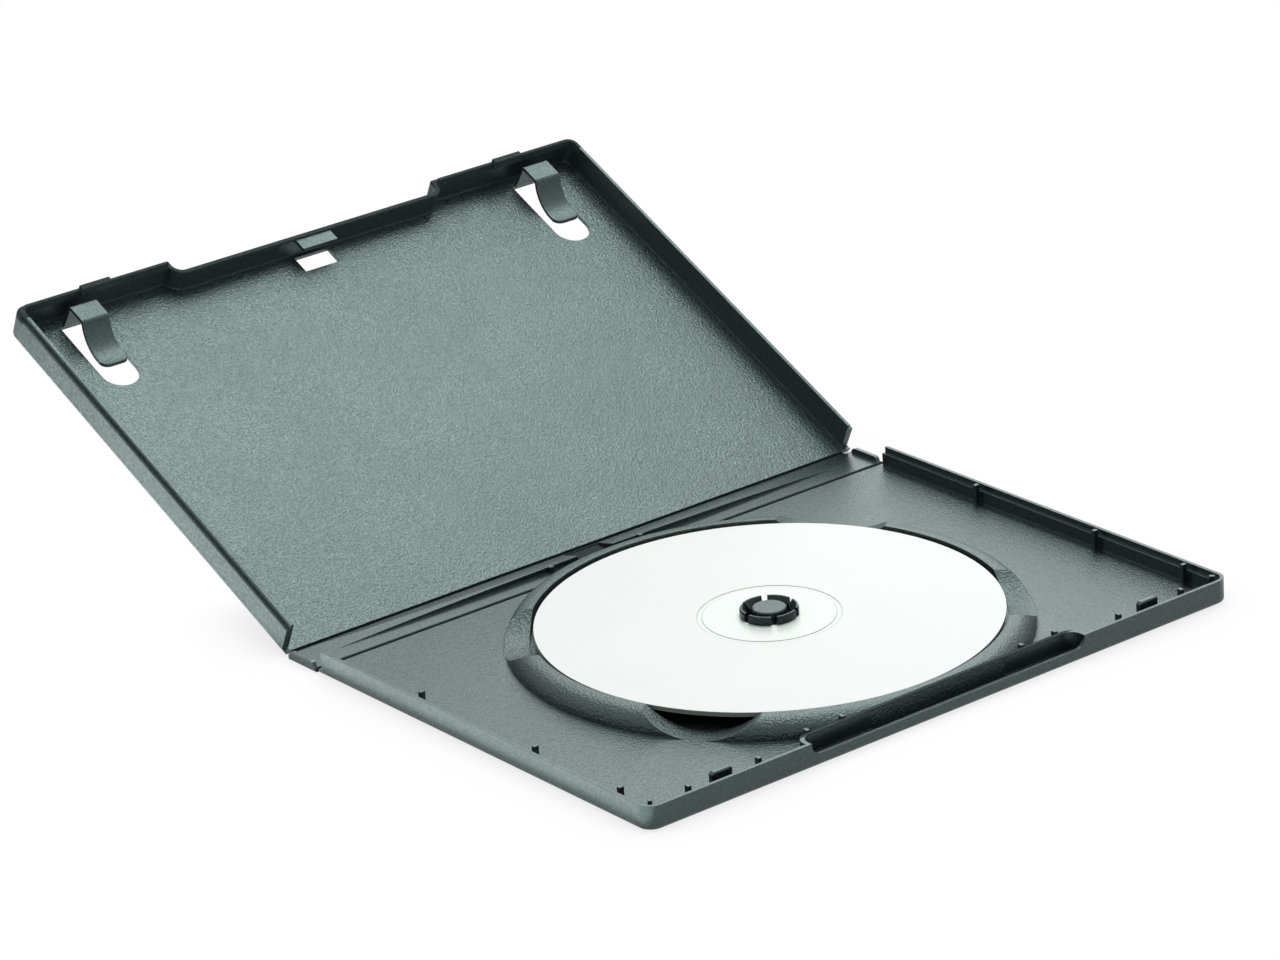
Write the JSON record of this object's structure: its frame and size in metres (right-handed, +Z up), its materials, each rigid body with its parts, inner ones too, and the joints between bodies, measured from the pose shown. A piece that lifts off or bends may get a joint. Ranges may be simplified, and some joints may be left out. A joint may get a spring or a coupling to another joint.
{
  "type": "dvd case",
  "caption": "Hinged plastic keep case lying open with its lid raised: latching rims, booklet clips, push-button hub with snap fingers, and a plain white disc in its ring.",
  "frame": {"origin": "middle of the tray's hinge line, on the table", "axes": "+X from the hinge to the tray's opening edge, +Y along the spine, +Z up"},
  "size_m": [0.2686, 0.19, 0.067],
  "materials": {
    "black_plastic": "fine spark-eroded grain",
    "disc_plastic": "plain white printed face"
  },
  "bodies": {
    "tray": {"back_tray": "black_plastic", "disc": "disc_plastic"},
    "spine": {"spine_panel": "black_plastic"},
    "lid": {"front_lid": "black_plastic"},
    "button": {"hub_button": "black_plastic"},
    "finger_1": {"hub_finger_1": "black_plastic"},
    "finger_2": {"hub_finger_2": "black_plastic"},
    "finger_3": {"hub_finger_3": "black_plastic"},
    "finger_4": {"hub_finger_4": "black_plastic"},
    "finger_5": {"hub_finger_5": "black_plastic"},
    "finger_6": {"hub_finger_6": "black_plastic"}
  },
  "joints": [
    {"name": "spine_hinge", "type": "hinge", "parent": "tray", "child": "spine", "pos_m": [0, 0, 0.0004], "axis": [0, 1, 0], "range_deg": [0, 90]},
    {"name": "lid_hinge", "type": "hinge", "parent": "spine", "child": "lid", "pos_m": [-0.0132, 0, 0.0004], "axis": [0, 1, 0], "range_deg": [-25.8, 64.2]},
    {"name": "button_press", "type": "slide", "parent": "tray", "child": "button", "axis": [0, 0, -1], "range_m": [0, 0.0007], "stiffness_N_per_m": 1500},
    {"name": "finger_1_flex", "type": "hinge", "parent": "tray", "child": "finger_1", "pos_m": [0.073, 0, 0.00375], "axis": [0, -1, 0], "range_deg": [0, 12.1]},
    {"name": "finger_2_flex", "type": "hinge", "parent": "tray", "child": "finger_2", "pos_m": [0.06925, 0.0065, 0.00375], "axis": [0.866, -0.5, 0], "range_deg": [0, 12.1]},
    {"name": "finger_3_flex", "type": "hinge", "parent": "tray", "child": "finger_3", "pos_m": [0.06175, 0.0065, 0.00375], "axis": [0.866, 0.5, 0], "range_deg": [0, 12.1]},
    {"name": "finger_4_flex", "type": "hinge", "parent": "tray", "child": "finger_4", "pos_m": [0.058, 0, 0.00375], "axis": [0, 1, 0], "range_deg": [0, 12.1]},
    {"name": "finger_5_flex", "type": "hinge", "parent": "tray", "child": "finger_5", "pos_m": [0.06175, -0.0065, 0.00375], "axis": [-0.866, 0.5, 0], "range_deg": [0, 12.1]},
    {"name": "finger_6_flex", "type": "hinge", "parent": "tray", "child": "finger_6", "pos_m": [0.06925, -0.0065, 0.00375], "axis": [-0.866, -0.5, 0], "range_deg": [0, 12.1]}
  ],
  "couplings": [
    {"joint": "finger_1_flex", "follows": "button_press", "rad_per_m": 299.2},
    {"joint": "finger_2_flex", "follows": "button_press", "rad_per_m": 299.2},
    {"joint": "finger_3_flex", "follows": "button_press", "rad_per_m": 299.2},
    {"joint": "finger_4_flex", "follows": "button_press", "rad_per_m": 299.2},
    {"joint": "finger_5_flex", "follows": "button_press", "rad_per_m": 299.2},
    {"joint": "finger_6_flex", "follows": "button_press", "rad_per_m": 299.2}
  ]
}
